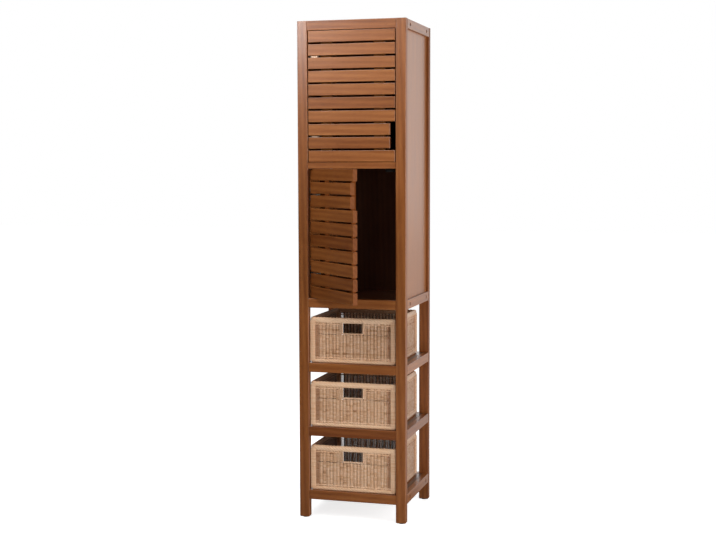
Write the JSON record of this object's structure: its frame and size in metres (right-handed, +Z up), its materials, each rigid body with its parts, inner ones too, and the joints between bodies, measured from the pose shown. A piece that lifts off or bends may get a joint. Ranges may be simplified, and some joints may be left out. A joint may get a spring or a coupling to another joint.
{
  "type": "bathroom storage tower",
  "caption": "Tall narrow wooden tower: slatted cupboard doors with finger notches above open bays that hold sliding woven baskets.",
  "frame": {"origin": "on the floor, at the middle of the footprint of the four posts", "axes": "+X to the right seen from the front, +Y to the back, +Z up; the doors and baskets face -Y"},
  "size_m": [0.4, 0.592, 1.8],
  "materials": {
    "post_wood": "satin brown stain, upright grain",
    "rail_wood": "satin brown stain, grain along the rail",
    "side_wood": "satin brown stain, grain along the rail",
    "panel_wood": "satin lighter brown stain, upright grain",
    "slat_wood": "satin brown stain, grain along the slat",
    "inner_wood": "dark brown stain",
    "wicker": "natural woven cane",
    "nickel": "satin nickel plate",
    "steel": "zinc plate",
    "felt": "hard pressed felt"
  },
  "bodies": {
    "frame": {"post_front_left": "post_wood", "post_front_right": "post_wood", "post_rear_left": "post_wood", "post_rear_right": "post_wood", "foot_glides": "felt", "left_top_rail": "side_wood", "left_cabinet_rail": "side_wood", "left_upper_shelf_rail": "side_wood", "left_lower_shelf_rail": "side_wood", "left_bottom_rail": "side_wood", "right_top_rail": "side_wood", "right_cabinet_rail": "side_wood", "right_upper_shelf_rail": "side_wood", "right_lower_shelf_rail": "side_wood", "right_bottom_rail": "side_wood", "front_top_rail": "rail_wood", "front_cabinet_rail": "rail_wood", "front_upper_shelf_rail": "rail_wood", "front_lower_shelf_rail": "rail_wood", "front_bottom_rail": "rail_wood", "back_top_rail": "rail_wood", "back_cabinet_rail": "rail_wood", "back_upper_shelf_rail": "rail_wood", "back_lower_shelf_rail": "rail_wood", "back_bottom_rail": "rail_wood", "end_cleats": "inner_wood", "top_board": "inner_wood", "cabinet_floor": "inner_wood", "upper_shelf_board": "inner_wood", "lower_shelf_board": "inner_wood", "bottom_shelf_board": "inner_wood", "middle_shelf": "rail_wood", "shelf_pins": "steel", "side_panel_left": "panel_wood", "side_panel_right": "panel_wood", "back_panel": "inner_wood", "frame_bolts": "nickel", "insert_nuts": "steel", "hinge_plates": "nickel", "hinge_arms": "nickel", "hinge_pins": "steel", "hinge_screws": "steel", "magnet_catches": "steel"},
    "upper_door": {"upper_door_slats": "slat_wood", "upper_door_short_slats": "slat_wood", "upper_batten_hinge_side": "slat_wood", "upper_batten_free_side": "slat_wood", "upper_hinge_cups": "nickel", "upper_door_screws": "steel", "upper_strike_plate": "nickel"},
    "lower_door": {"lower_door_slats": "slat_wood", "lower_door_short_slats": "slat_wood", "lower_batten_hinge_side": "slat_wood", "lower_batten_free_side": "slat_wood", "lower_hinge_cups": "nickel", "lower_door_screws": "steel", "lower_strike_plate": "nickel"},
    "basket_upper": {"basket_upper": "wicker"},
    "basket_middle": {"basket_middle": "wicker"},
    "basket_lower": {"basket_lower": "wicker"}
  },
  "joints": [
    {"name": "upper_door_hinge", "type": "hinge", "parent": "frame", "child": "upper_door", "pos_m": [-0.138, -0.1825, 1.532], "axis": [0, 0, -1], "range_deg": [0, 95]},
    {"name": "lower_door_hinge", "type": "hinge", "parent": "frame", "child": "lower_door", "pos_m": [-0.138, -0.1825, 1.042], "axis": [0, 0, -1], "range_deg": [-45, 50]},
    {"name": "basket_upper_slide", "type": "slide", "parent": "frame", "child": "basket_upper", "axis": [0, -1, 0], "range_m": [0, 0.34]},
    {"name": "basket_middle_slide", "type": "slide", "parent": "frame", "child": "basket_middle", "axis": [0, -1, 0], "range_m": [0, 0.34]},
    {"name": "basket_lower_slide", "type": "slide", "parent": "frame", "child": "basket_lower", "axis": [0, -1, 0], "range_m": [0, 0.34]}
  ]
}
